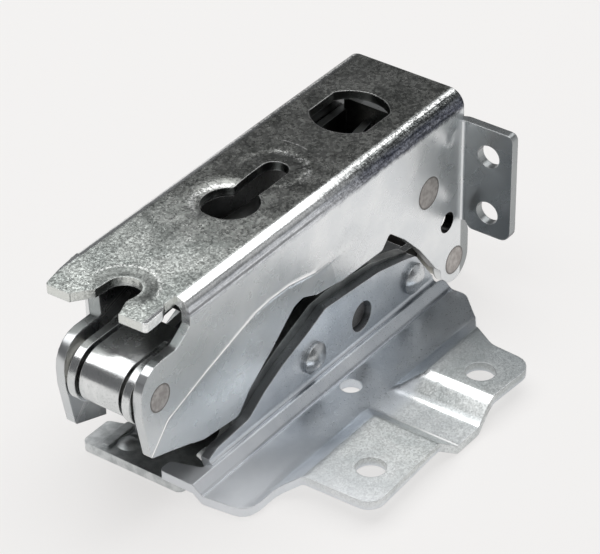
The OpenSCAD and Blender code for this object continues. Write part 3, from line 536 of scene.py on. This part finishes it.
M_BASE_PIN = zinc("base_pin_steel", (0.34, 0.33, 0.32), (0.17, 0.165, 0.16), 0.34, 0.5, 0.5, 0.5, 0.5, 0.2, 4.0)
M_SPRING = zinc("spring_steel", (0.22, 0.225, 0.23), (0.10, 0.10, 0.105), 0.28, 0.42, 0.4, 0.4, 0.3, 0.2, 5.0, 0.1)
M_PLASTIC = plastic_material()


def paint(obj, mat):
    obj.data.materials.clear()
    obj.data.materials.append(mat)


for n, m in {"upper_pin": M_PIN, "lower_pin": M_PIN, "front_pin": M_PIN, "upper_spacers": M_PLASTIC, "lower_spacers": M_PLASTIC,
             "front_spring": M_SPRING, "front_link": M_LINK, "front_washers": M_PLASTIC, "cross_lever": M_CROSS,
             "crossing_rivets": M_BASE_PIN, "crossing_spacers": M_PLASTIC, "main_lever": M_LEVER, "rear_link": M_LEVER,
             "rear_link_pin": M_BASE_PIN, "short_link": M_LEVER, "short_link_pin": M_BASE_PIN, "bearing_bracket": M_BRACKET,
             "base_rivets": M_BASE_PIN, "link_base_pin": M_BASE_PIN, "link_spacers": M_PLASTIC, "flange_rivets": M_RIVET,
             "casing": M_CASING, "wing_plate": M_PLATE}.items():
    paint(nodes[n], m)


# ---------------------------------------------------------------- formed sheets
def dense_copy(node, name, cuts, body, mat):
    """A copy of a CAD sheet cut into a grid, so that its folds, crease and dimples can be formed in the mesh."""
    me = nodes[node].data.copy()
    me.name = name
    bm = bmesh.new()
    bm.from_mesh(me)
    bmesh.ops.remove_doubles(bm, verts=bm.verts, dist=2e-6)
    planes = []
    for axis, values, keep in cuts:
        if axis == "planes":
            planes += [(co, no, keep) for co, no in values]
            continue
        normal = Vector((0, 0, 0))
        normal[axis] = 1
        for v in values:
            co = Vector((0, 0, 0))
            co[axis] = (v + OFF[axis]) / 1000
            planes.append((co, normal, keep))
    for co, normal, keep in planes:
        faces = [f for f in bm.faces if keep(f)]
        geom = faces + list({e for f in faces for e in f.edges}) + list({q for f in faces for q in f.verts})
        bmesh.ops.bisect_plane(bm, geom=geom, dist=4e-6, plane_co=co, plane_no=normal)
    bmesh.ops.dissolve_degenerate(bm, dist=8e-6, edges=bm.edges)
    bmesh.ops.triangulate(bm, faces=bm.faces, quad_method="BEAUTY", ngon_method="BEAUTY")
    bmesh.ops.dissolve_degenerate(bm, dist=8e-6, edges=bm.edges)
    bmesh.ops.triangulate(bm, faces=bm.faces, quad_method="BEAUTY", ngon_method="BEAUTY")
    bm.to_mesh(me)
    bm.free()
    obj = bpy.data.objects.new(name, me)
    scene.collection.objects.link(obj)
    me.materials.clear()
    me.materials.append(mat)
    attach(obj, body)
    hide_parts(node)
    return obj


def coords(obj):
    co = np.zeros(len(obj.data.vertices) * 3, np.float64)
    obj.data.vertices.foreach_get("co", co)
    return co.reshape(-1, 3) * 1000 - np.array(OFF)


def write_back(obj, p, limit=34):
    """Store the formed points, and corner normals that are smooth within the limit and weighted by area."""
    me = obj.data
    me.vertices.foreach_set("co", ((p + np.array(OFF)) / 1000).ravel())
    me.update()
    me.polygons.foreach_set("use_smooth", [True] * len(me.polygons))
    corners = len(me.loops)
    lv = np.zeros(corners, np.int64)
    me.loops.foreach_get("vertex_index", lv)
    tri = p[lv].reshape(-1, 3, 3)
    cross = np.cross(tri[:, 1] - tri[:, 0], tri[:, 2] - tri[:, 0])
    size = np.linalg.norm(cross, axis=1)
    longest = np.max([np.linalg.norm(tri[:, i] - tri[:, i - 1], axis=1) for i in range(3)], axis=0)
    fn = cross / np.maximum(size, 1e-12)[:, None]
    area = np.where(size / np.maximum(longest, 1e-9) > 0.004, size, 0.0)      # slivers have no say
    cnt = np.bincount(lv, minlength=len(p))
    starts = np.cumsum(cnt) - cnt
    order = np.argsort(lv, kind="stable")
    c = cnt[lv]
    first = np.repeat(np.arange(corners), c)
    step_ = np.arange(c.sum()) - np.repeat(np.cumsum(c) - c, c)
    other = order[starts[lv[first]] + step_]
    f, g = first // 3, other // 3
    w = area[g] * ((fn[f] * fn[g]).sum(1) > math.cos(math.radians(limit)))
    out = np.stack([np.bincount(first, w * fn[g][:, i], corners) for i in range(3)], 1)
    length = np.linalg.norm(out, axis=1)
    out = np.where(length[:, None] > 1e-9, out / np.maximum(length, 1e-9)[:, None], fn[np.arange(corners) // 3])
    me.normals_split_custom_set(out.tolist())


def smooth01(v, lo, hi):
    q = np.clip((v - lo) / (hi - lo), 0, 1)
    return q * q * (3 - 2 * q)


def near_wall(f):
    return max(v.co.y for v in f.verts) < W(0, -12.4, 0).y and max(v.co.z for v in f.verts) < W(0, 0, -3.4).z


def flat_web(f):
    return min(v.co.z for v in f.verts) > W(0, 0, -2.2).z and max(abs(v.co.y - W(0, 0, 0).y) for v in f.verts) < 0.0125


def beside_crease(x0, x1):
    """Wall faces between two corners of the crease."""
    a, b = W(x0, 0, 0).x - 1e-6, W(x1, 0, 0).x + 1e-6
    return lambda f: near_wall(f) and min(v.co.x for v in f.verts) > a and max(v.co.x for v in f.verts) < b


crease_cuts = [(0, [c[0] for c in CREASE[1:-1]], near_wall)]
for (xa, za), (xb, zb) in zip(CREASE[1:], CREASE[:-1]):
    if xa < -107.5:
        continue
    no = Vector((-(zb - za), 0, xb - xa)).normalized()
    crease_cuts.append(("planes", [(W(xa, 0, za + d), no) for d in (-1.0, -0.55, -0.2, 0.2, 0.55, 1.0)], beside_crease(xa, xb)))

casing = dense_copy("casing", "casing_sheet", crease_cuts + [
    (0, np.arange(-106.6, 0.5, 1.3), near_wall), (2, np.arange(-44.5, -4.0, 1.3), near_wall),
    (0, np.arange(-105.5, -84.0, 0.7), flat_web), (1, np.arange(-12.0, 12.1, 0.8), flat_web),
    (0, np.arange(-71.0, -36.0, 0.7), flat_web),
], "casing", M_CASING)
p = coords(casing)
x, y, z = p[:, 0].copy(), p[:, 1].copy(), p[:, 2].copy()
line = np.interp(x, [c[0] for c in sorted(CREASE)], [c[1] for c in sorted(CREASE)])
below = line - z
fade = 1 - smooth01(x, -52.0, -38.0)
wall = (y < -12.4) & (z < -4.5)
# a low ridge along the crease, and the sheet below it leaning inwards a little
ridge = -0.13 * np.interp(below, [-0.55, -0.2, 0.2, 0.55], [0, 1, 1, 0]) * fade
lean = (0.10 * smooth01(below, 0.2, 0.55) + 0.20 * smooth01(below, 0.5, 9.0)) * fade
# pressed dimple near the top of the tab
dimple = 0.35 * np.exp(-(((x + 4.2) / 1.5) ** 2 + ((z + 8.6) / 1.1) ** 2))
p[:, 1] += np.where(wall, ridge + lean + dimple, 0)
# coined rings on the web
top = (z > -2.1) & (np.abs(y) < 13)
d1 = np.hypot(x + 95.2, y + 1.4)
coin = -0.30 * (1 - smooth01(d1, 4.6, 7.0)) * smooth01(x, -99.5, -95.5)
d2 = np.hypot(x + 46.6, y + 0.5)
ring = -0.10 * np.exp(-((d2 - 6.4) / 0.7) ** 2)
d3 = np.hypot(x + 60.9, y + 0.5)
dish = -0.48 * (1 - smooth01(d3, 5.4, 9.4)) * smooth01(y, -0.5, 3.5)
p[:, 2] += np.where(top, coin + ring + dish, 0)
write_back(casing, p)

# the pressed plate: the same height field as the CAD plate, with rounded folds
Z_FLOOR, Z_FOOT, Z_WING = -43.2, -41.2, -39.5


def plate_height(px, py):
    strip = np.interp(py, [-17.55, -15.45], [Z_FLOOR, Z_FOOT])
    wy = np.interp(py, [-32.3, -27.2], [Z_WING, Z_FLOOR])
    wx = np.interp(px, [-57.6, -52.2, -44.4, -40.3, -38.7], [Z_WING, Z_FLOOR, Z_FLOOR, -39.95, Z_WING])
    return np.maximum(strip, np.minimum(wy, wx))


def plate_faces(f):
    return max(v.co.y for v in f.verts) < W(0, -12.3, 0).y and abs(f.normal.z) > 0.3


plate = dense_copy("wing_plate", "pressed_plate", [
    (0, np.arange(-93.6, -8.0, 0.8), plate_faces), (1, np.arange(-48.2, -15.2, 0.8), plate_faces),
    (1, np.arange(-18.0, -15.1, 0.3), plate_faces), (0, np.arange(-46.0, -37.6, 0.4), plate_faces),
    (0, np.arange(-58.6, -51.0, 0.4), plate_faces),
], "base", M_PLATE)
p = coords(plate)
x, y, z = p[:, 0], p[:, 1], p[:, 2]
cad_strip = np.interp(y, [-17.65, -15.45], [Z_FLOOR, Z_FOOT])
cad_y = np.interp(y, [-32.3, -27.2], [Z_WING, Z_FLOOR])
cad_x = np.interp(x, [-57.6, -52.2, -45.4, -38.7], [Z_WING, Z_FLOOR, Z_FLOOR, Z_WING])
h0 = np.maximum(cad_strip, np.minimum(cad_y, cad_x))
acc = np.zeros_like(h0)
wsum = 0.0
# crisp bends beside the flange and across the groove, wide ones at the wings' inner ends
reach = 0.35 + 0.65 * smooth01(y, -30.5, -26.0) * (1 - smooth01(y, -23.5, -20.5))
for r, w in ((0.0, 1.0), (0.7, 1.0), (1.4, 0.9), (2.0, 0.6)):
    for k in range(12):
        a = 2 * math.pi * k / 12
        acc += w * plate_height(x + reach * r * math.cos(a), y + reach * r * math.sin(a))
        wsum += w
h1 = acc / wsum
weight = 1 - smooth01(y, -16.2, -15.5)
low = z < Z_WING + 0.2
p[:, 2] += np.where(low & (y < -15.4), (h1 - h0) * weight, 0)
write_back(plate, p)

# ---------------------------------------------------------------- floor, light
mesh = bpy.data.meshes.new("floor")
s = 3.0
zf = CAD_BOX[0][2] - 0.0002
mesh.from_pydata([(-s, -s, zf), (s, -s, zf), (s, s, zf), (-s, s, zf)], [], [(0, 1, 2, 3)])
floor = bpy.data.objects.new("floor", mesh)
scene.collection.objects.link(floor)
fm = bpy.data.materials.new("floor_white")
fm.use_nodes = True
fb = fm.node_tree.nodes["Principled BSDF"]
fb.inputs["Base Color"].default_value = (0.22, 0.218, 0.216, 1)
fb.inputs["Emission Color"].default_value = (1.0, 0.986, 0.974, 1)
fb.inputs["Emission Strength"].default_value = 0.66
fb.inputs["Roughness"].default_value = 0.9
fb.inputs["Specular IOR Level"].default_value = 0.2
mesh.materials.append(fm)

world = bpy.data.worlds.new("studio")
scene.world = world
world.use_nodes = True
wn = world.node_tree
bg = wn.nodes["Background"]
tc = wn.nodes.new("ShaderNodeTexCoord")
sep = wn.nodes.new("ShaderNodeSeparateXYZ")
wn.links.new(tc.outputs["Generated"], sep.inputs[0])
ramp = wn.nodes.new("ShaderNodeValToRGB")
ramp.color_ramp.interpolation = "EASE"
el = ramp.color_ramp.elements
el[0].position = 0.0
el[0].color = (0.80, 0.80, 0.81, 1)
el[1].position = 1.0
el[1].color = (0.55, 0.55, 0.56, 1)
for pos_, v in ((0.44, 0.70), (0.52, 0.16), (0.80, 0.14)):
    e = el.new(pos_)
    e.color = (v, v * 1.01, v * 1.04, 1)
up01 = wn.nodes.new("ShaderNodeMapRange")
up01.inputs[1].default_value = -1.0
up01.inputs[2].default_value = 1.0
wn.links.new(sep.outputs[2], up01.inputs[0])
wn.links.new(up01.outputs[0], ramp.inputs[0])
# a dim low reflector to the right of the hinge
aim = wn.nodes.new("ShaderNodeVectorMath")
aim.operation = "DOT_PRODUCT"
aim.inputs[1].default_value = Vector((0.66, -0.70, 0.24)).normalized()
wn.links.new(tc.outputs["Generated"], aim.inputs[0])
fall = wn.nodes.new("ShaderNodeMapRange")
fall.interpolation_type = "SMOOTHSTEP"
for i, q in enumerate((0.90, 0.975, 0.0, 0.5)):
    fall.inputs[i + 1].default_value = q
wn.links.new(aim.outputs["Value"], fall.inputs[0])
glow = wn.nodes.new("ShaderNodeVectorMath")
glow.operation = "ADD"
wn.links.new(ramp.outputs[0], glow.inputs[0])
wn.links.new(fall.outputs[0], glow.inputs[1])
wn.links.new(glow.outputs[0], bg.inputs[0])
bg.inputs[1].default_value = 1.0


def area(name, loc, target, size, power, colour=(1, 1, 1)):
    l = bpy.data.lights.new(name, "AREA")
    l.shape = "RECTANGLE"
    l.size, l.size_y = size
    l.energy = power
    l.color = colour
    o = bpy.data.objects.new(name, l)
    o.location = loc
    o.rotation_euler = (Vector(target) - Vector(loc)).to_track_quat("-Z", "Y").to_euler()
    scene.collection.objects.link(o)
    return o


# one wide softbox overhead: the flat top mirrors the dark room past its edge
H = 1.15
GLOW = 2.05


def overhead(name, x0, x1, y0, y1):
    """A softbox that covers the directions x/z from x0 to x1 and y/z from y0 to y1, seen from the hinge."""
    a = (x1 - x0) * (y1 - y0) * H * H
    o = area(name, ((x0 + x1) / 2 * H, (y0 + y1) / 2 * H + 0.04, H), (0, 0, 0), ((x1 - x0) * H, (y1 - y0) * H), math.pi * a * GLOW)
    o.rotation_euler = (0, 0, 0)
    return o


overhead("softbox_left", -0.66, 0.78, -0.35, 0.80)
overhead("softbox_back", 0.78, 1.14, -0.62, 0.42)

scene.view_settings.view_transform = "Standard"
scene.view_settings.look = "None"
